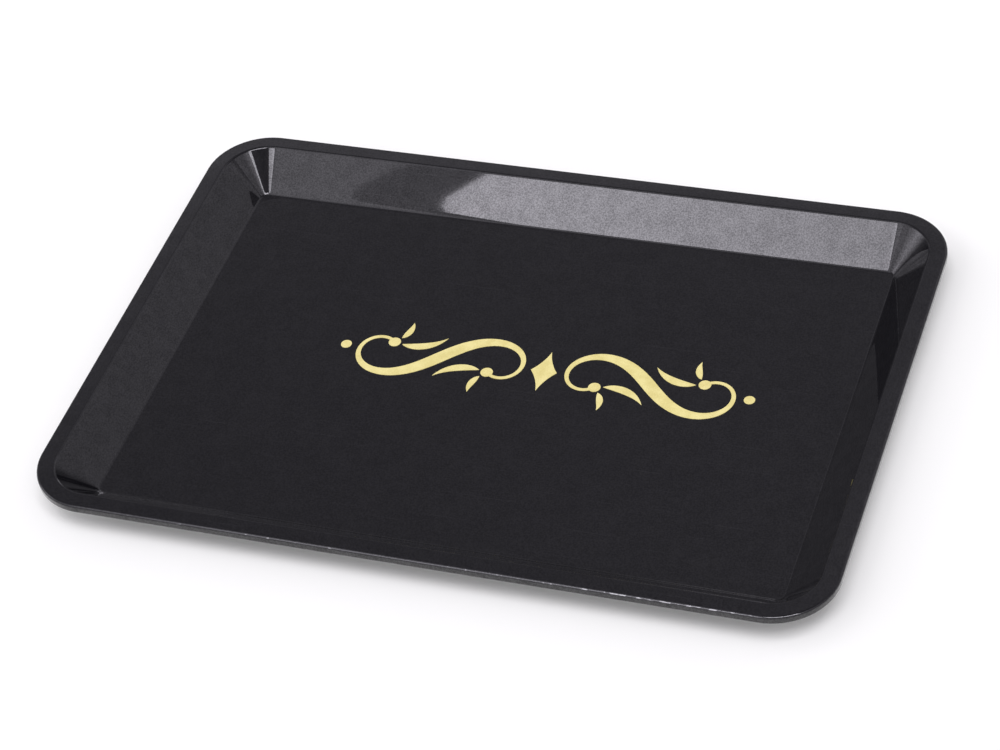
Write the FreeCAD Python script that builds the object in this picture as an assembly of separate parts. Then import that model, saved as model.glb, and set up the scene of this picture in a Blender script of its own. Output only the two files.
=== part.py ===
"""Coin tray: a one-piece plastic moulding with gold foil hot-stamped on its floor.

The tray is one section (floor, sloping wall, flat rim) drawn straight along the four sides and
turned about the four corner centres, so every corner is a true cone between floor and rim.
The foil is a mirrored scroll ornament. Each island of foil is a piece of its own on the floor.

Millimetres, +Z up. The origin is the middle of the underside, on the surface that the tray
stands on. +X runs along the long side and +Y towards the back of the tray.
"""

import FreeCAD, Part
import math
import os

from FreeCAD import Vector

# Tray: driving dimensions
RIM_LENGTH = 165.0           # outside, along X
RIM_WIDTH = 116.0            # outside, along Y
WELL_DEPTH = 7.6             # from the rim's top face down to the floor
WALL_RUN = 7.5               # how far a wall leans out between floor and rim
FLANGE_WIDTH = 3.7           # flat rim, from the wall's top edge to the outer edge
RIM_FALL = 0.16              # how much lower the rim's outer edge lies than the wall's top edge
WALL_THICKNESS = 1.7         # floor, walls and rim alike
FLOOR_CORNER_RADIUS = 1.8    # in plan, where two walls meet the floor

# Tray: edge radii
FLOOR_FILLET = 0.8           # hollow edge between floor and wall
THROAT_FILLET = 0.8          # edge between wall and rim
RIM_TOP_FILLET = 0.5
RIM_LOWER_FILLET = 0.3
NECK_FILLET = 1.0            # hollow edge under the rim
BASE_FILLET = 1.6            # outer edge that the tray stands inside

# Tray: the moulding gate, sunk in the underside so that its stub never touches the table
GATE_WELL_DIAMETER = 9.0
GATE_WELL_DEPTH = 0.5
GATE_STUB_DIAMETER = 2.2
GATE_STUB_HEIGHT = 0.35

# Foil stamp: where its middle lies on the floor, and the film
STAMP_X = 7.7
STAMP_Y = 4.3
FOIL_THICKNESS = 0.08
MOTIF_GAP = 1.6              # bare plastic between neighbouring motifs along X

# Foil stamp: scrolls, S-shaped spirals whose curvature grows evenly from the middle
SCROLL_EYE_SPACING = 26.4    # between the two points that the spirals wind towards
SCROLL_TURN = 272.0          # degrees that each end winds, from the middle
SCROLL_SWELL = 3.0           # stroke width in the middle
SCROLL_HAIRLINE = 0.75       # stroke width at the ends
SCROLL_TAPER = 3             # the higher, the shorter the wide stretch in the middle
TERMINAL_DIAMETER = 2.6      # the round drop at each end of a scroll

# Foil stamp: two leaves that spring from each drop, each bent along an arc.
# Directions and bends are in degrees, counter-clockwise, as seen at the right scroll's outer drop.
LEAF_GAP = 0.5               # bare plastic between a drop and its leaves
LEAF_BELLY = 0.8             # below 1, the widest place of a leaf lies nearer its root
LONG_LEAF_DIRECTION = 192.0
LONG_LEAF_BEND = -66.0
LONG_LEAF_RADIUS = 9.0
LONG_LEAF_WIDTH = 1.8
SHORT_LEAF_DIRECTION = 128.0
SHORT_LEAF_BEND = -50.0
SHORT_LEAF_RADIUS = 6.0
SHORT_LEAF_WIDTH = 1.4

# Foil stamp: the bead at each end and the lozenge in the middle
BEAD_DIAMETER = 2.3
LOZENGE_LENGTH = 5.6         # along X
LOZENGE_HEIGHT = 11.6        # along Y
LOZENGE_HOLLOW = 0.4         # how far each side is drawn in

# Worked out from the dimensions above
THROAT_CORNER_RADIUS = FLOOR_CORNER_RADIUS + WALL_RUN
RIM_CORNER_RADIUS = THROAT_CORNER_RADIUS + FLANGE_WIDTH
TRAY_HEIGHT = WALL_THICKNESS + WELL_DEPTH
CORNER_CENTRE_X = RIM_LENGTH / 2 - RIM_CORNER_RADIUS
CORNER_CENTRE_Y = RIM_WIDTH / 2 - RIM_CORNER_RADIUS
SCROLL_SCALE = SCROLL_EYE_SPACING / math.sqrt(2)
SCROLL_END = math.sqrt(2 * math.radians(SCROLL_TURN) / math.pi)
SCROLL_LEAN = math.radians(-45)    # lays the two spiral eyes level

LEAVES = {
    "long": (LONG_LEAF_DIRECTION, LONG_LEAF_BEND, LONG_LEAF_RADIUS, LONG_LEAF_WIDTH),
    "short": (SHORT_LEAF_DIRECTION, SHORT_LEAF_BEND, SHORT_LEAF_RADIUS, SHORT_LEAF_WIDTH),
}

# How finely the curves of the ornament are set out
SCROLL_STATIONS = 40         # places along a scroll where its width is set
LEAF_STATIONS = 14
SPIRAL_STEPS = 60            # steps of the sum that gives a point of the spiral
STROKE_TOLERANCE = 0.005     # how far a stroke's edge may lie from those places
SAME_POINT = 1e-6            # two points nearer than this are one

CENTRE = Vector(0, 0, 0)
UP = Vector(0, 0, 1)


def rounded_outline(corners):
    """Closed wire through (point, fillet) corners, with each fillet as a tangent arc."""
    points = [point for point, _ in corners]
    arcs = []
    arrivals = []
    departures = []
    for i, (corner, fillet) in enumerate(corners):
        arrive = corner
        leave = corner
        if fillet > 0:
            back = (points[i - 1] - corner).normalize()
            onward = (points[(i + 1) % len(points)] - corner).normalize()
            half_angle = back.getAngle(onward) / 2
            setback = fillet / math.tan(half_angle)
            arrive = corner + back * setback
            leave = corner + onward * setback
            inwards = (back + onward).normalize()
            middle = corner + inwards * (fillet / math.sin(half_angle) - fillet)
            arcs.append(Part.Arc(arrive, middle, leave).toShape())
        arrivals.append(arrive)
        departures.append(leave)
    next_arrivals = arrivals[1:] + arrivals[:1]
    lines = [Part.LineSegment(a, b).toShape() for a, b in zip(departures, next_arrivals)]
    return Part.Wire(Part.__sortEdges__(arcs + lines))


def underside_corner(before, corner, after):
    """Where the undersides of two stretches of the section meet, one wall thickness below them."""
    arriving = (corner - before).normalize()
    leaving = (after - corner).normalize()
    below_arriving = Vector(arriving.z, 0, -arriving.x)
    below_leaving = Vector(leaving.z, 0, -leaving.x)
    reach = WALL_THICKNESS / (1 + below_arriving.dot(below_leaving))
    return corner + (below_arriving + below_leaving) * reach


def tray_section():
    """The tray's section, from a corner's axis (x = 0) out to the rim's edge."""
    middle = Vector(0, 0, WALL_THICKNESS)
    floor_edge = Vector(FLOOR_CORNER_RADIUS, 0, WALL_THICKNESS)
    throat = Vector(THROAT_CORNER_RADIUS, 0, TRAY_HEIGHT)
    rim = Vector(RIM_CORNER_RADIUS, 0, TRAY_HEIGHT - RIM_FALL)
    return Part.Face(rounded_outline([
        (middle, 0),
        (floor_edge, FLOOR_FILLET),
        (throat, THROAT_FILLET),
        (rim, RIM_TOP_FILLET),
        (rim - UP * WALL_THICKNESS, RIM_LOWER_FILLET),
        (underside_corner(floor_edge, throat, rim), NECK_FILLET),
        (underside_corner(middle, floor_edge, throat), BASE_FILLET),
        (CENTRE, 0),
    ]))


def tray_moulding():
    """Four straight sides, four turned corners and the floor between them, as one solid."""
    section = tray_section()
    middle = Part.makeBox(
        2 * CORNER_CENTRE_X, 2 * CORNER_CENTRE_Y, WALL_THICKNESS,
        Vector(-CORNER_CENTRE_X, -CORNER_CENTRE_Y, 0),
    )
    pieces = []
    for quarter in range(4):
        reach, span = CORNER_CENTRE_X, CORNER_CENTRE_Y
        if quarter % 2:
            reach, span = span, reach
        side = section.translated(Vector(reach, -span, 0)).extrude(Vector(0, 2 * span, 0))
        turning_point = Vector(reach, span, 0)
        corner = section.translated(turning_point).revolve(turning_point, UP, 90)
        for piece in (side, corner):
            piece.rotate(CENTRE, UP, 90 * quarter)
            pieces.append(piece)
    shell = middle.fuse(pieces).removeSplitter()
    gate_well = Part.makeCylinder(GATE_WELL_DIAMETER / 2, GATE_WELL_DEPTH)
    gate_stub = Part.makeCylinder(
        GATE_STUB_DIAMETER / 2, GATE_STUB_HEIGHT,
        Vector(0, 0, GATE_WELL_DEPTH - GATE_STUB_HEIGHT),
    )
    return shell.cut(gate_well.cut(gate_stub))


def spiral_heading(t):
    """Heading of the scroll's spiral at t: the bend grows evenly on both sides of the middle."""
    return SCROLL_LEAN + math.pi / 2 * t * t


def spiral_point(t):
    """Point of the scroll's spiral at t, 0 in its middle: short steps along the heading, added up."""
    step = t / SPIRAL_STEPS
    headings = [spiral_heading((i + 0.5) * step) for i in range(SPIRAL_STEPS)]
    x = sum(math.cos(heading) for heading in headings)
    y = sum(math.sin(heading) for heading in headings)
    return Vector(x, y, 0) * (step * SCROLL_SCALE)


def swelled_stroke(path, stations):
    """Flat face along path(share), which gives (point, heading, width) for shares from 0 to 1."""
    left = []
    right = []
    for i in range(stations + 1):
        point, heading, width = path(i / stations)
        sideways = Vector(-math.sin(heading), math.cos(heading), 0) * (width / 2)
        left.append(point + sideways)
        right.append(point - sideways)
    edges = []
    for bank in (left, right):
        curve = Part.BSplineCurve()
        curve.approximate(Points=bank, Tolerance=STROKE_TOLERANCE)
        edges.append(curve.toShape())
    for a, b in ((left[0], right[0]), (left[-1], right[-1])):
        if a.distanceToPoint(b) > SAME_POINT:
            edges.append(Part.LineSegment(a, b).toShape())
    return Part.Face(Part.Wire(Part.__sortEdges__(edges)))


def scroll_path(share):
    """The scroll's stroke: widest in the middle and a hairline at both spiral ends."""
    from_middle = 2 * share - 1
    t = SCROLL_END * from_middle
    swell = math.cos(math.pi / 2 * from_middle) ** SCROLL_TAPER
    width = SCROLL_HAIRLINE + (SCROLL_SWELL - SCROLL_HAIRLINE) * swell
    return spiral_point(t), spiral_heading(t), width


def leaf_path(root, direction, bend, radius, width):
    """A leaf's stroke from its root: an arc of that radius, pointed at both ends."""
    start = math.radians(direction)
    arm = math.copysign(radius, bend)

    def path(share):
        heading = math.radians(direction + bend * share)
        along = math.sin(heading) - math.sin(start)
        across = math.cos(start) - math.cos(heading)
        point = root + Vector(along, across, 0) * arm
        return point, heading, width * math.sin(math.pi * share ** LEAF_BELLY)

    return path


def foil(face):
    """A film of that outline."""
    return face.extrude(Vector(0, 0, FOIL_THICKNESS))


def disc(centre, diameter):
    """A round film."""
    return Part.makeCylinder(diameter / 2, FOIL_THICKNESS, centre)


def scroll():
    """One S-scroll with a round drop at each end."""
    stroke = foil(swelled_stroke(scroll_path, SCROLL_STATIONS))
    drops = [disc(spiral_point(t), TERMINAL_DIAMETER) for t in (-SCROLL_END, SCROLL_END)]
    return stroke.fuse(drops).removeSplitter()


def scroll_leaves():
    """The leaves of one scroll, by name: a pair at each drop, alike after half a turn."""
    leaves = {}
    drop = spiral_point(SCROLL_END)
    for name, (direction, bend, radius, width) in LEAVES.items():
        away = Vector(math.cos(math.radians(direction)), math.sin(math.radians(direction)), 0)
        root = drop + away * (TERMINAL_DIAMETER / 2 + LEAF_GAP)
        path = leaf_path(root, direction, bend, radius, width)
        outer = foil(swelled_stroke(path, LEAF_STATIONS))
        inner = outer.copy()
        inner.rotate(CENTRE, UP, 180)
        leaves["outer_" + name] = outer
        leaves["inner_" + name] = inner
    return leaves


def lozenge():
    """The four-pointed lozenge in the middle of the ornament, with hollow sides."""
    points = [
        Vector(LOZENGE_LENGTH / 2, 0, 0),
        Vector(0, LOZENGE_HEIGHT / 2, 0),
        Vector(-LOZENGE_LENGTH / 2, 0, 0),
        Vector(0, -LOZENGE_HEIGHT / 2, 0),
    ]
    edges = []
    for i, start in enumerate(points):
        end = points[(i + 1) % len(points)]
        chord_middle = (start + end) * 0.5
        inwards = Vector(start.y - end.y, end.x - start.x, 0).normalize()
        middle = chord_middle + inwards * LOZENGE_HOLLOW
        edges.append(Part.Arc(start, middle, end).toShape())
    return foil(Part.Face(Part.Wire(edges)))


def stamp():
    """Every island of foil by node name, in place on the tray's floor."""
    right_half = {"scroll": scroll()}
    for name, leaf in scroll_leaves().items():
        right_half["leaf_" + name] = leaf
    reach = right_half["scroll"].optimalBoundingBox().XMax
    scroll_x = LOZENGE_LENGTH / 2 + MOTIF_GAP + reach
    for motif in right_half.values():
        motif.translate(Vector(scroll_x, 0, 0))
    bead_x = scroll_x + reach + MOTIF_GAP + BEAD_DIAMETER / 2
    right_half["bead"] = disc(Vector(bead_x, 0, 0), BEAD_DIAMETER)

    islands = {"foil_lozenge": lozenge()}
    for name, motif in right_half.items():
        islands[f"foil_{name}_right"] = motif
        islands[f"foil_{name}_left"] = motif.mirror(CENTRE, Vector(1, 0, 0))
    for island in islands.values():
        island.translate(Vector(STAMP_X, STAMP_Y, WALL_THICKNESS))
    return islands


def main():
    os.makedirs("parts", exist_ok=True)
    nodes = {"tray_moulding": tray_moulding()}
    nodes.update(stamp())
    for name, shape in nodes.items():
        box = shape.optimalBoundingBox()
        print(
            f"{name}: {len(shape.Solids)} solid, valid {shape.isValid()}, {shape.Volume:.3f} mm3,"
            f" x {box.XMin:.2f} to {box.XMax:.2f}, y {box.YMin:.2f} to {box.YMax:.2f},"
            f" z {box.ZMin:.2f} to {box.ZMax:.2f}"
        )
        shape.exportStep(f"parts/{name}.step")


main()
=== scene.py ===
"""Looks of the coin tray: a black moulded tray with a gold foil ornament, on a plain white table.

Metres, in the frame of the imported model: the origin is the middle of the underside, +X runs along
the long side, +Y to the back and +Z up. A direction from the tray is an azimuth, 0 to the front and
90 to the right, and an elevation above the table, both in degrees.
"""

import math

import bmesh
import bpy
from mathutils import Matrix, Vector


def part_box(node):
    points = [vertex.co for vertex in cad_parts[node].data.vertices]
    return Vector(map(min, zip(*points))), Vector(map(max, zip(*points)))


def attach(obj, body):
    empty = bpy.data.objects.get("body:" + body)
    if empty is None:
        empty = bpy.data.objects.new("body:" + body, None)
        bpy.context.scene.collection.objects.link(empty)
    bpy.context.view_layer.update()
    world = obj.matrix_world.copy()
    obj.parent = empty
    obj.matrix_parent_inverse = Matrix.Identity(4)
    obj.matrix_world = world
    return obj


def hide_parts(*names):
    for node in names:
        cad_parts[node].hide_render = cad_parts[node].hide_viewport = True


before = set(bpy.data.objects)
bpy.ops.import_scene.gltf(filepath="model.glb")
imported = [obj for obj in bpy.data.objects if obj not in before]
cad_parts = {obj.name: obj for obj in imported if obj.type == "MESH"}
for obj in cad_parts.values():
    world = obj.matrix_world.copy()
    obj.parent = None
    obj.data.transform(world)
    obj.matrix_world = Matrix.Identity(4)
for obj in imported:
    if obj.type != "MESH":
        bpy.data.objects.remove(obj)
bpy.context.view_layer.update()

MM = 0.001

# Tray sizes: the outside and the floor's level come from the frame
TRAY_LOW, TRAY_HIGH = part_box("tray_moulding")
FLOOR_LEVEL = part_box("foil_lozenge")[0].z
RIM_LENGTH = TRAY_HIGH.x - TRAY_LOW.x
RIM_WIDTH = TRAY_HIGH.y - TRAY_LOW.y
RIM_LEVEL = TRAY_HIGH.z
FLANGE_WIDTH = 3.7 * MM
RIM_FALL = 0.16 * MM
WALL_RUN = 7.5 * MM
FLOOR_CORNER_RADIUS = 1.8 * MM
WALL_THICKNESS = FLOOR_LEVEL - TRAY_LOW.z
WELL_DEPTH = RIM_LEVEL - FLOOR_LEVEL
RIM_CORNER_RADIUS = FLOOR_CORNER_RADIUS + WALL_RUN + FLANGE_WIDTH
CORNER_CENTRE_X = RIM_LENGTH / 2 - RIM_CORNER_RADIUS
CORNER_CENTRE_Y = RIM_WIDTH / 2 - RIM_CORNER_RADIUS
WALL_SLOPE = math.atan2(WELL_DEPTH, WALL_RUN)

# The walls' feet run out towards the floor: height above it where a row starts, degrees it lies flatter
FOOT_ROWS = [(3.0 * MM, 0.03), (1.6 * MM, 0.10), (0.7 * MM, 0.30)]
FOOT_SLOPE = WALL_SLOPE - math.radians(FOOT_ROWS[-1][1])

# Tray edges: radius of each
FLOOR_FILLET = 0.8 * MM
THROAT_FILLET = 0.8 * MM
RIM_TOP_FILLET = 0.5 * MM
RIM_LOWER_FILLET = 0.3 * MM
NECK_FILLET = 1.0 * MM
BASE_FILLET = 1.6 * MM

# The moulding gate under the tray
GATE_WELL_RADIUS = 4.5 * MM
GATE_WELL_DEPTH = 0.5 * MM
GATE_STUB_RADIUS = 1.1 * MM
GATE_STUB_HEIGHT = 0.35 * MM

# Mesh: faces round a corner, a fillet and the gate, and how edges are found and smoothed
CORNER_SEGMENTS = 32
FILLET_SEGMENTS = 6
GATE_SEGMENTS = 64
ROUND_PROFILE = 0.5
LOOP_TOLERANCE = 0.02 * MM
SMOOTH_ANGLE = 35
FLAT_FACE_WEIGHT = 100

# Colours: red, green, blue and alpha
BLACK = (0, 0, 0, 1)
WHITE = (1, 1, 1, 1)
PLASTIC_DARK = (0.0045, 0.0043, 0.0054, 1)
PLASTIC_PALE = (0.0066, 0.0063, 0.0078, 1)
SCRATCHED = (0.20, 0.20, 0.21, 1)
# Pale colour of the rim's outer edge: partly wear, partly a painted highlight along the front rim
WORN_AND_HIGHLIGHT = (0.62, 0.62, 0.63, 1)
FOIL_DEEP = (0.84, 0.74, 0.275, 1)
FOIL_PALE = (0.98, 0.89, 0.38, 1)
TABLE_WHITE = (0.93, 0.945, 0.885, 1)
TABLE_LIFT = (0.06, 0.06, 0.06, 1)

# Plastic: lumps of its grain, its patches and its slow waves, and the relief in millimetres
GRAIN_SIZE = 0.30 * MM
PATCH_SIZE = 3.5 * MM
WAVE_SIZE = 45 * MM
GRAIN_RELIEF = 0.00025
WAVE_RELIEF = 0.010
GRAIN_TONE = 0.8    # share of the grain in the colour's changes, the patches' being the rest

# Plastic: its gloss, and how much grain and patches change it, more so on the walls
MEAN_GLOSS = 0.525
GRAIN_GLOSS = 0.50
WALL_GRAIN_GLOSS = 0.22
PATCH_GLOSS = 0.09
WALL_PATCH_GLOSS = 0.06
WALL_BLEND = 0.6 * MM

# Plastic: its roughness, and what roughens it
POLISH = 0.015
GRAIN_ROUGHNESS = 0.02
SCRATCH_ROUGHNESS = 0.06
WEAR_ROUGHNESS = 0.40
PLASTIC_IOR = 1.40

# Scratches on the plastic
SCRATCH_ANGLES = [35, 110]
SCRATCH_LENGTH = 30 * MM
SCRATCH_WIDTH = 0.25 * MM
SCRATCH_STRENGTH = 0.04

# Wear of the rim's edge, partly a painted highlight along the front: the stretches over which it sets in or
# ends, and its nicks
WEAR_AND_HIGHLIGHT_EDGE = (0.12 * MM, 0.30 * MM)
WEAR_AND_HIGHLIGHT_FRONT = (-0.48 * RIM_WIDTH, -0.44 * RIM_WIDTH)
WEAR_AND_HIGHLIGHT_START = (-0.45 * RIM_LENGTH, -0.10 * RIM_LENGTH)
WEAR_AND_HIGHLIGHT_END = (0.41 * RIM_LENGTH, 0.44 * RIM_LENGTH)
HANDLED_AND_HIGHLIGHT_START = (0.18 * RIM_LENGTH, 0.24 * RIM_LENGTH)
HANDLED_AND_HIGHLIGHT_GAIN = 0.14
RUBBED_AND_HIGHLIGHT_SHARE = 0.18
NICK_SIZE = 0.6 * MM
NICK_STRETCH = (0.4, 1, 1)

# Foil: lumps of its grain and its patches, and its finish
FOIL_GRAIN_SIZE = 0.25 * MM
FOIL_PATCH_SIZE = 2.5 * MM
FOIL_RELIEF = 0.002 * MM
FOIL_GRAIN_TONE = 0.45
FOIL_METAL = 0.25
FOIL_ROUGHNESS = 0.50
FOIL_GRAIN_ROUGHNESS = 0.12

# Noise levels between which a pattern goes from none to full
GRAIN_BAND = (0.30, 0.70)
PATCH_BAND = (0.38, 0.62)
TONE_BAND = (0.35, 0.65)
SCRATCH_BAND = (0.70, 0.78)
NICK_BAND = (0.62, 0.76)

# Table
TABLE_SIZE = 6.0
TABLE_GAP = 0.02 * MM
TABLE_ROUGHNESS = 0.9

# Camera, as solved from the photograph's perspective
CAMERA_AZIMUTH = 24.456
CAMERA_ELEVATION = 43.050
CAMERA_ROLL = -9.231
CAMERA_DISTANCE = 638.44 * MM    # from the middle of the tray's floor
CAMERA_SIDESTEP = -0.380 * MM
CAMERA_LIFT = 1.200 * MM
CAMERA_SENSOR = 36.0
CAMERA_LENS = 112.36
CAMERA_NEAR = 10 * MM
CAMERA_FAR = 20.0

# Light: its tint, and how bright the room's walls are by degrees above the horizon
LIGHT_TINT = (0.99, 0.96, 1.05)
WALL_RADIANCE = [
    (0, 0.10), (5, 0.15), (10, 0.30), (15, 0.42), (20, 0.50), (25, 0.55), (30, 0.68),
    (34.5, 0.75), (37, 0.52), (39, 0.40), (41, 0.34), (44, 0.30), (60, 0.23), (90, 0.20),
]

# Patches of the room: share taken away or radiance added, azimuth, elevation, degrees to its border
DARK_PATCHES = [
    (0.6, -125, 5, 60),
    (0.6, -170, 18, 38),
    (0.5, 12, 50, 28),
    (0.7, -138, 23, 11),
]
LIGHT_PATCHES = [
    (0.30, 165, 46, 22),
    (0.07, -165, 50, 14),
    (2.4, -171, 18, 7),
    (1.0, -42, 37, 26),
    (1.2, -60, 68, 24),
    (0.25, 15, 12, 60),
    (2.0, -81, 25.5, 23),
]

# Softboxes: width, height and turn in degrees as seen from the tray
SOFTBOX_DISTANCE = 20.0
SOFTBOX_FADE = (0, 0.5)    # shares of its width
SOFTBOXES = {
    "key_softbox": {
        "azimuth": -14.92, "elevation": 44.58, "width": 14.0, "height": 11.0, "turn": -34.75,
        "radiance": 5.3, "far_end": 0.76,
    },
    "front_left_softbox": {
        "azimuth": -40.64, "elevation": 49.78, "width": 13.6, "height": 20.2, "turn": 66.5,
        "radiance": 0.6,
    },
    "right_softbox": {
        "azimuth": 51, "elevation": 50, "width": 5, "height": 16,
        "radiance": 6.0,
    },
    "right_panel": {
        "azimuth": 78, "elevation": 43.5, "width": 34, "height": 16, "turn": -15,
        "radiance": 1.5, "far_end": 0.35,
    },
    "overhead_softbox": {
        "azimuth": 24, "elevation": 65, "width": 30, "height": 20,
        "radiance": 9.3,
    },
}


# Modelling

def select_only(piece):
    """Makes the piece the only selected one."""
    bpy.ops.object.select_all(action="DESELECT")
    piece.select_set(True)
    bpy.context.view_layer.objects.active = piece


def open_for_editing(piece):
    """Makes the piece the only selected one and opens its mesh."""
    select_only(piece)
    bpy.ops.object.mode_set(mode="EDIT")


def close_editing():
    """Leaves the mesh that is open."""
    bpy.ops.object.mode_set(mode="OBJECT")


def pick(piece, kind, test):
    """Selects only the vertices, edges or faces of an open mesh that pass the test."""
    bpy.ops.mesh.select_mode(type={"verts": "VERT", "edges": "EDGE", "faces": "FACE"}[kind])
    bpy.ops.mesh.select_all(action="DESELECT")
    mesh = bmesh.from_edit_mesh(piece.data)
    for element in getattr(mesh, kind):
        if test(element):
            element.select_set(True)
    mesh.select_flush_mode()
    bmesh.update_edit_mesh(piece.data)


def apply_modifier(piece, kind, **settings):
    """Adds a modifier with these settings and applies it."""
    select_only(piece)
    modifier = piece.modifiers.new(kind.lower(), kind)
    for name, value in settings.items():
        setattr(modifier, name, value)
    bpy.ops.object.modifier_apply(modifier=modifier.name)


def rim_margin(point):
    """How far a point lies inside the rim's outer outline, seen from above."""
    past_x = max(abs(point.x) - CORNER_CENTRE_X, 0)
    past_y = max(abs(point.y) - CORNER_CENTRE_Y, 0)
    return RIM_CORNER_RADIUS - math.hypot(past_x, past_y)


def wall_rows():
    """The run and the drop of each row of a wall, from the rim down to the floor."""
    heights = [WELL_DEPTH, *(height for height, flatter in FOOT_ROWS), 0]
    slopes = [WALL_SLOPE, *(WALL_SLOPE - math.radians(flatter) for height, flatter in FOOT_ROWS)]
    drops = [upper - lower for upper, lower in zip(heights, heights[1:])]
    return [(drop / math.tan(slope), drop) for drop, slope in zip(drops, slopes)]


def underside_shift(fold):
    """How much nearer the rim a folded edge lies on the underside than on the upper side."""
    return WALL_THICKNESS * math.tan(fold / 2)


def round_edge(piece, level, margin, fold, fillet):
    """Rounds the loop of edges that runs at that level and at that margin inside the rim."""

    def on_loop(vertex):
        at_level = abs(vertex.co.z - level) < LOOP_TOLERANCE
        return at_level and abs(rim_margin(vertex.co) - margin) < LOOP_TOLERANCE

    pick(piece, "edges", lambda edge: all(on_loop(vertex) for vertex in edge.verts))
    bpy.ops.mesh.bevel(
        affect="EDGES", offset_type="OFFSET", offset=fillet * math.tan(fold / 2),
        segments=FILLET_SEGMENTS, profile=ROUND_PROFILE, clamp_overlap=False,
    )


def inset_shell():
    """The upper side as one open sheet: flange, walls and floor, inset from the rim's outline."""
    bpy.ops.object.select_all(action="DESELECT")
    bpy.ops.mesh.primitive_plane_add(size=1, location=(0, 0, 0))
    piece = bpy.context.object
    piece.name = "tray"
    open_for_editing(piece)
    bpy.ops.transform.resize(value=(RIM_LENGTH, RIM_WIDTH, 1))
    bpy.ops.transform.translate(value=(0, 0, RIM_LEVEL))
    bpy.ops.mesh.bevel(
        affect="VERTICES", offset_type="OFFSET", offset=RIM_CORNER_RADIUS,
        segments=CORNER_SEGMENTS, profile=ROUND_PROFILE,
    )
    pick(piece, "faces", lambda face: True)
    bpy.ops.mesh.inset(thickness=FLANGE_WIDTH)
    for run, drop in wall_rows():
        bpy.ops.mesh.inset(thickness=run, depth=-drop)
    close_editing()
    return piece


def round_edges(piece):
    """Lets the rim fall towards its outer edge and rounds every edge of the shell."""
    open_for_editing(piece)
    pick(piece, "verts", lambda vertex: rim_margin(vertex.co) < LOOP_TOLERANCE)
    bpy.ops.transform.translate(value=(0, 0, -RIM_FALL))
    right_angle = math.radians(90)
    throat = FLANGE_WIDTH
    floor = FLANGE_WIDTH + sum(run for run, drop in wall_rows())
    neck = throat - underside_shift(WALL_SLOPE)
    base = floor - underside_shift(FOOT_SLOPE)
    round_edge(piece, RIM_LEVEL - RIM_FALL, 0, right_angle, RIM_TOP_FILLET)
    round_edge(piece, RIM_LEVEL - RIM_FALL - WALL_THICKNESS, 0, right_angle, RIM_LOWER_FILLET)
    round_edge(piece, RIM_LEVEL, throat, WALL_SLOPE, THROAT_FILLET)
    round_edge(piece, FLOOR_LEVEL, floor, FOOT_SLOPE, FLOOR_FILLET)
    round_edge(piece, RIM_LEVEL - WALL_THICKNESS, neck, WALL_SLOPE, NECK_FILLET)
    round_edge(piece, TRAY_LOW.z, base, FOOT_SLOPE, BASE_FILLET)
    close_editing()


def gate_cutter():
    """The tool that sinks the gate well into the underside and leaves the gate's stub standing."""
    bpy.ops.object.select_all(action="DESELECT")
    bpy.ops.mesh.primitive_cylinder_add(
        vertices=GATE_SEGMENTS, radius=GATE_WELL_RADIUS, depth=2 * GATE_WELL_DEPTH,
        end_fill_type="NGON", location=(0, 0, TRAY_LOW.z),
    )
    cutter = bpy.context.object
    open_for_editing(cutter)
    pick(cutter, "faces", lambda face: face.normal.z > face.normal.xy.length)
    bpy.ops.mesh.inset(thickness=GATE_WELL_RADIUS - GATE_STUB_RADIUS)
    bpy.ops.mesh.extrude_region_move(TRANSFORM_OT_translate={"value": (0, 0, -GATE_STUB_HEIGHT)})
    close_editing()
    return cutter


def tray():
    """The moulding: an inset shell given its thickness, its rounded edges and its gate."""
    piece = inset_shell()
    apply_modifier(
        piece, "SOLIDIFY", thickness=WALL_THICKNESS, offset=-1,
        use_even_offset=True, use_quality_normals=True,
    )
    round_edges(piece)
    cutter = gate_cutter()
    apply_modifier(piece, "BOOLEAN", operation="DIFFERENCE", solver="EXACT", object=cutter)
    bpy.data.objects.remove(cutter)
    bpy.ops.object.shade_smooth_by_angle(angle=math.radians(SMOOTH_ANGLE))
    apply_modifier(piece, "WEIGHTED_NORMAL", mode="FACE_AREA", weight=FLAT_FACE_WEIGHT, keep_sharp=True)
    return piece


# Shading

class Value:
    """An output of a shader node. Arithmetic on values adds Math nodes."""

    def __init__(self, nodes, socket):
        self.nodes = nodes
        self.socket = socket

    def __add__(self, other):
        return self.nodes.math("ADD", self, other)

    def __radd__(self, other):
        return self.nodes.math("ADD", other, self)

    def __sub__(self, other):
        return self.nodes.math("SUBTRACT", self, other)

    def __rsub__(self, other):
        return self.nodes.math("SUBTRACT", other, self)

    def __mul__(self, other):
        return self.nodes.math("MULTIPLY", self, other)

    def __rmul__(self, other):
        return self.nodes.math("MULTIPLY", other, self)


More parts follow.
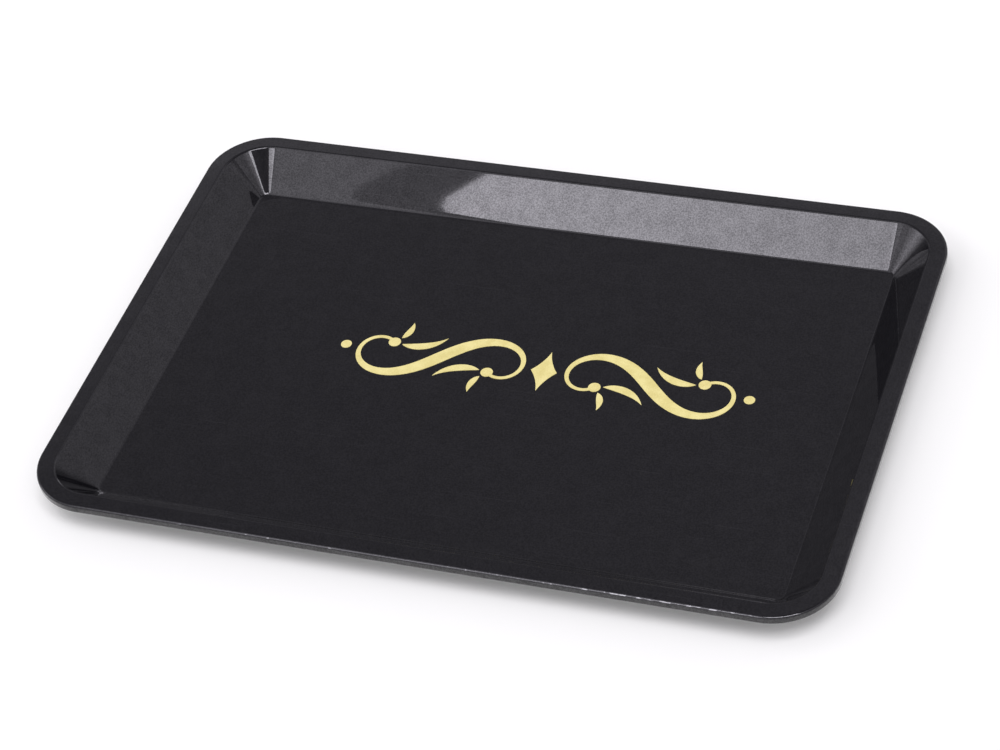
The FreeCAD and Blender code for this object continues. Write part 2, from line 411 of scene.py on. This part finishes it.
class Nodes:
    """Adds nodes to one shader tree."""

    def __init__(self, tree):
        self.tree = tree
        tree.nodes.clear()

    def add(self, kind, settings=None, sockets=None, output=0):
        """Adds a node with its settings, then its sockets' values or links. Gives one of its outputs."""
        node = self.tree.nodes.new(kind)
        for name, setting in (settings or {}).items():
            if name == "stops":
                self.set_stops(node.color_ramp, setting)
            else:
                setattr(node, name, setting)
        for name, value in (sockets or {}).items():
            if isinstance(value, Value):
                self.tree.links.new(value.socket, node.inputs[name])
            else:
                node.inputs[name].default_value = value
        return Value(self, node.outputs[output]) if len(node.outputs) else None

    @staticmethod
    def set_stops(ramp, stops):
        """Sets a colour ramp to these (place, grey) stops."""
        while len(ramp.elements) < len(stops):
            ramp.elements.new(1)
        for element, (place, grey) in zip(ramp.elements, stops):
            element.position = place
            element.color = (grey, grey, grey, 1)

    def outputs(self, value):
        """All outputs of the node that a value comes from, by their names."""
        return {socket.name: Value(self, socket) for socket in value.socket.node.outputs}

    def math(self, operation, *values):
        """A Math node on these values."""
        return self.add("ShaderNodeMath", {"operation": operation}, dict(enumerate(values)))

    def place(self):
        """The place on the piece, in its Object coordinates."""
        return self.add("ShaderNodeTexCoord", output="Object")

    def parts(self, vector):
        """The X, Y and Z of a vector."""
        return self.outputs(self.add("ShaderNodeSeparateXYZ", {}, {"Vector": vector}))

    def noise(self, place, grain, detail):
        """Noise from 0 to 1 whose lumps are about that large."""
        return self.add("ShaderNodeTexNoise", {}, {"Vector": place, "Scale": 1 / grain, "Detail": detail})

    def step(self, value, band):
        """0 where the value is below the band, 1 above it, and a smooth change between."""
        low, high = band
        settings = {"interpolation_type": "SMOOTHSTEP"}
        return self.add("ShaderNodeMapRange", settings, {"Value": value, "From Min": low, "From Max": high})

    def ups_and_downs(self, value, band):
        """The same change as a step, from half below 0 to half above."""
        return self.step(value, band) - 1 / 2

    def mix(self, share, low, high):
        """A colour between two colours, which sockets 6 and 7 take and output 2 gives."""
        settings = {"data_type": "RGBA", "clamp_factor": True}
        return self.add("ShaderNodeMix", settings, {0: share, 6: low, 7: high}, output=2)

    def bump(self, height, distance):
        """The normal of a relief whose height of 1 stands that far out."""
        return self.add("ShaderNodeBump", {}, {"Height": height, "Strength": 1.0, "Distance": distance})

    def finish(self, sockets):
        """Ends a material in a Principled surface with these sockets."""
        surface = self.add("ShaderNodeBsdfPrincipled", {}, sockets)
        self.add("ShaderNodeOutputMaterial", {}, {"Surface": surface})


def new_material(name):
    """A material and its shader tree, still empty."""
    material = bpy.data.materials.new(name)
    material.use_nodes = True
    return material, Nodes(material.node_tree)


def margin_in_shader(nodes, x, y):
    """The same measure as rim_margin, for a shader."""
    past_x = nodes.math("MAXIMUM", nodes.math("ABSOLUTE", x) - CORNER_CENTRE_X, 0)
    past_y = nodes.math("MAXIMUM", nodes.math("ABSOLUTE", y) - CORNER_CENTRE_Y, 0)
    return RIM_CORNER_RADIUS - nodes.math("SQRT", past_x * past_x + past_y * past_y)


def scratches(nodes, place):
    """Fine straight scratches that cross the tray at a few angles: 1 on a scratch."""
    marks = 0
    for angle in SCRATCH_ANGLES:
        turn = (0, 0, math.radians(angle))
        lengths = (1 / SCRATCH_LENGTH, 1 / SCRATCH_WIDTH, 0)
        stretched = nodes.add(
            "ShaderNodeMapping", {}, {"Vector": place, "Rotation": turn, "Scale": lengths},
        )
        marks = marks + nodes.step(nodes.noise(stretched, 1, detail=1), SCRATCH_BAND)
    return marks


def edge_wear_and_highlight(nodes, place):
    """Wear and a painted highlight on the rim's outer top edge: rubbed along the front, nicked most at the
    right of the front.
    """
    x, y, z = nodes.parts(place).values()
    margin = margin_in_shader(nodes, x, y)
    below = RIM_LEVEL - RIM_FALL - z
    edge = (1 - nodes.step(margin, WEAR_AND_HIGHLIGHT_EDGE)) * (1 - nodes.step(below, WEAR_AND_HIGHLIGHT_EDGE))
    front = 1 - nodes.step(y, WEAR_AND_HIGHLIGHT_FRONT)
    front = front * (1 - nodes.step(x, WEAR_AND_HIGHLIGHT_END)) * nodes.step(x, WEAR_AND_HIGHLIGHT_START)
    handled_and_highlight = front * nodes.step(x, HANDLED_AND_HIGHLIGHT_START)
    stretched = nodes.add("ShaderNodeMapping", {}, {"Vector": place, "Scale": NICK_STRETCH})
    nick = nodes.step(nodes.noise(stretched, NICK_SIZE, detail=3) + HANDLED_AND_HIGHLIGHT_GAIN * handled_and_highlight, NICK_BAND)
    return edge * front * (RUBBED_AND_HIGHLIGHT_SHARE + (1 - RUBBED_AND_HIGHLIGHT_SHARE) * nick)


def wall_share(nodes, place):
    """1 on the sloping walls, 0 on the floor and the flange."""
    height = nodes.parts(place)["Z"]
    above_floor = nodes.step(height, (FLOOR_LEVEL, FLOOR_LEVEL + WALL_BLEND))
    return above_floor * (1 - nodes.step(height, (RIM_LEVEL - WALL_BLEND, RIM_LEVEL)))


def tray_plastic():
    """Semi-gloss black plastic with the fine grain of its mould, coarser on the walls."""
    material, nodes = new_material("tray_plastic")
    place = nodes.place()
    grain = nodes.noise(place, GRAIN_SIZE, detail=2)
    patches = nodes.noise(place, PATCH_SIZE, detail=3)
    wave = nodes.noise(place, WAVE_SIZE, detail=0)
    scratch = scratches(nodes, place)
    wear_and_highlight = edge_wear_and_highlight(nodes, place)
    walls = wall_share(nodes, place)
    tone = nodes.step(GRAIN_TONE * grain + (1 - GRAIN_TONE) * patches, TONE_BAND)
    colour = nodes.mix(tone, PLASTIC_DARK, PLASTIC_PALE)
    colour = nodes.mix(SCRATCH_STRENGTH * scratch, colour, SCRATCHED)
    # Pale rim edge: partly wear, partly a painted highlight along the front
    colour = nodes.mix(wear_and_highlight, colour, WORN_AND_HIGHLIGHT)
    grain_gloss = (GRAIN_GLOSS + WALL_GRAIN_GLOSS * walls) * nodes.ups_and_downs(grain, GRAIN_BAND)
    patch_gloss = (PATCH_GLOSS + WALL_PATCH_GLOSS * walls) * nodes.ups_and_downs(patches, PATCH_BAND)
    gloss = MEAN_GLOSS + grain_gloss + patch_gloss
    roughened = GRAIN_ROUGHNESS * grain + SCRATCH_ROUGHNESS * scratch + WEAR_ROUGHNESS * wear_and_highlight
    nodes.finish({
        "Base Color": colour,
        "Roughness": POLISH + roughened,
        "IOR": PLASTIC_IOR,
        "Coat Weight": gloss * (1 - wear_and_highlight),
        "Coat Roughness": POLISH,
        "Normal": nodes.bump(WAVE_RELIEF * wave + GRAIN_RELIEF * grain, MM),
    })
    return material


def gold_foil():
    """Pale gold stamping foil: satin, a little uneven in tone, following the plastic's grain."""
    material, nodes = new_material("gold_foil")
    place = nodes.place()
    grain = nodes.noise(place, FOIL_GRAIN_SIZE, detail=2)
    patches = nodes.noise(place, FOIL_PATCH_SIZE, detail=2)
    tone = nodes.step(FOIL_GRAIN_TONE * grain + (1 - FOIL_GRAIN_TONE) * patches, TONE_BAND)
    nodes.finish({
        "Base Color": nodes.mix(tone, FOIL_DEEP, FOIL_PALE),
        "Metallic": FOIL_METAL,
        "Roughness": FOIL_ROUGHNESS + FOIL_GRAIN_ROUGHNESS * grain,
        "Normal": nodes.bump(grain, FOIL_RELIEF),
    })
    return material


def table_top():
    """White table: matt, and full white to the eye where nothing shades it."""
    material, nodes = new_material("table_top")
    path = nodes.outputs(nodes.add("ShaderNodeLightPath"))
    seen = path["Is Camera Ray"] + path["Is Glossy Ray"] + path["Is Transmission Ray"]
    nodes.finish({
        "Base Color": TABLE_WHITE,
        "Roughness": TABLE_ROUGHNESS,
        "Specular IOR Level": 0.0,
        "Emission Color": nodes.mix(nodes.step(seen, (0, 1)), BLACK, TABLE_LIFT),
        "Emission Strength": 1.0,
    })
    return material


# Studio

def direction(azimuth, elevation):
    """Unit vector from the tray in that direction."""
    around = math.radians(azimuth)
    up = math.radians(elevation)
    return Vector((math.sin(around) * math.cos(up), -math.cos(around) * math.cos(up), math.sin(up)))


def softbox_side(angle):
    """How long a softbox's side is that looks so many degrees long from the tray."""
    return 2 * SOFTBOX_DISTANCE * math.tan(math.radians(angle / 2))


def softbox(name, azimuth, elevation, width, height, radiance, turn=0, far_end=1):
    """A rectangular soft light that faces the tray.

    Its brightness falls to the far_end share over the first half of its width.
    """
    lamp = bpy.data.lights.new(name, "AREA")
    lamp.shape = "RECTANGLE"
    lamp.color = LIGHT_TINT
    lamp.size = softbox_side(width)
    lamp.size_y = softbox_side(height)
    lamp.energy = radiance * math.pi * lamp.size * lamp.size_y
    lamp.use_nodes = True
    nodes = Nodes(lamp.node_tree)
    along = nodes.parts(nodes.add("ShaderNodeNewGeometry", output="Parametric"))["X"]
    colour = nodes.mix(nodes.step(along, SOFTBOX_FADE), WHITE, (far_end, far_end, far_end, 1))
    emission = nodes.add("ShaderNodeEmission", {}, {"Color": colour})
    nodes.add("ShaderNodeOutputLight", {}, {"Surface": emission})
    light = bpy.data.objects.new(name, lamp)
    bpy.context.scene.collection.objects.link(light)
    towards = direction(azimuth, elevation)
    facing = towards.to_track_quat("Z", "Y").to_matrix().to_4x4()
    turned = Matrix.Rotation(math.radians(turn), 4, "Z")
    light.matrix_world = Matrix.Translation(towards * SOFTBOX_DISTANCE) @ facing @ turned
    light.visible_camera = False


def room():
    """Dim surroundings, with darker patches and patches that light spills on."""
    world = bpy.data.worlds.new("room")
    bpy.context.scene.world = world
    world.use_nodes = True
    nodes = Nodes(world.node_tree)
    towards = nodes.add("ShaderNodeTexCoord", output="Generated")

    def patch(strength, azimuth, elevation, reach):
        """That strength in that direction, falling to 0 at so many degrees from it."""
        sockets = {0: towards, 1: direction(azimuth, elevation)}
        cosine = nodes.add("ShaderNodeVectorMath", {"operation": "DOT_PRODUCT"}, sockets, output="Value")
        angle = nodes.math("ARCCOSINE", cosine)
        sockets = {"Value": angle, "From Max": math.radians(reach), "To Min": 1, "To Max": 0}
        return strength * nodes.add("ShaderNodeMapRange", {}, sockets)

    walls = [(math.sin(math.radians(elevation)), radiance) for elevation, radiance in WALL_RADIANCE]
    height = nodes.parts(towards)["Z"]
    light = nodes.add("ShaderNodeValToRGB", {"stops": walls}, {"Fac": height})
    for dark in DARK_PATCHES:
        light = light * (1 - patch(*dark))
    for bright in LIGHT_PATCHES:
        light = light + patch(*bright)
    colour = nodes.add("ShaderNodeVectorMath", {"operation": "SCALE"}, {0: LIGHT_TINT, "Scale": light})
    background = nodes.add("ShaderNodeBackground", {}, {"Color": colour})
    nodes.add("ShaderNodeOutputWorld", {}, {"Surface": background})


def table():
    """The white table that the tray stands on."""
    bpy.ops.object.select_all(action="DESELECT")
    bpy.ops.mesh.primitive_plane_add(size=TABLE_SIZE, location=(0, 0, -TABLE_GAP))
    top = bpy.context.object
    top.name = "table"
    bpy.ops.object.transform_apply(location=True, rotation=False, scale=True)
    top.data.materials.append(table_top())
    return top


def camera():
    """The photograph's view."""
    back = direction(CAMERA_AZIMUTH, CAMERA_ELEVATION)
    level = Vector((0, 0, 1)).cross(back).normalized()
    upright = back.cross(level)
    roll = math.radians(CAMERA_ROLL)
    right = math.cos(roll) * level + math.sin(roll) * upright
    up = -math.sin(roll) * level + math.cos(roll) * upright
    target = Vector((0, 0, FLOOR_LEVEL))
    place = target + back * CAMERA_DISTANCE + right * CAMERA_SIDESTEP + up * CAMERA_LIFT
    lens = bpy.data.cameras.new("camera")
    lens.sensor_fit = "HORIZONTAL"
    lens.sensor_width = CAMERA_SENSOR
    lens.lens = CAMERA_LENS
    lens.clip_start = CAMERA_NEAR
    lens.clip_end = CAMERA_FAR
    view = bpy.data.objects.new("camera", lens)
    bpy.context.scene.collection.objects.link(view)
    turn = Matrix((right, up, back)).transposed().to_4x4()
    view.matrix_world = Matrix.Translation(place) @ turn
    bpy.context.scene.camera = view


def studio():
    """Camera, surroundings, table and the soft lights."""
    camera()
    room()
    table()
    for name, settings in SOFTBOXES.items():
        softbox(name, **settings)


def dress_foil():
    """Gives the foil's pieces their finish."""
    foil = gold_foil()
    for name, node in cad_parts.items():
        if name.startswith("foil_"):
            node.data.materials.clear()
            node.data.materials.append(foil)


def main():
    """The tray, its foil and the studio round them."""
    bpy.context.scene.view_settings.view_transform = "Standard"
    moulding = tray()
    moulding.data.materials.append(tray_plastic())
    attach(moulding, "root")
    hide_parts("tray_moulding")
    dress_foil()
    studio()


main()
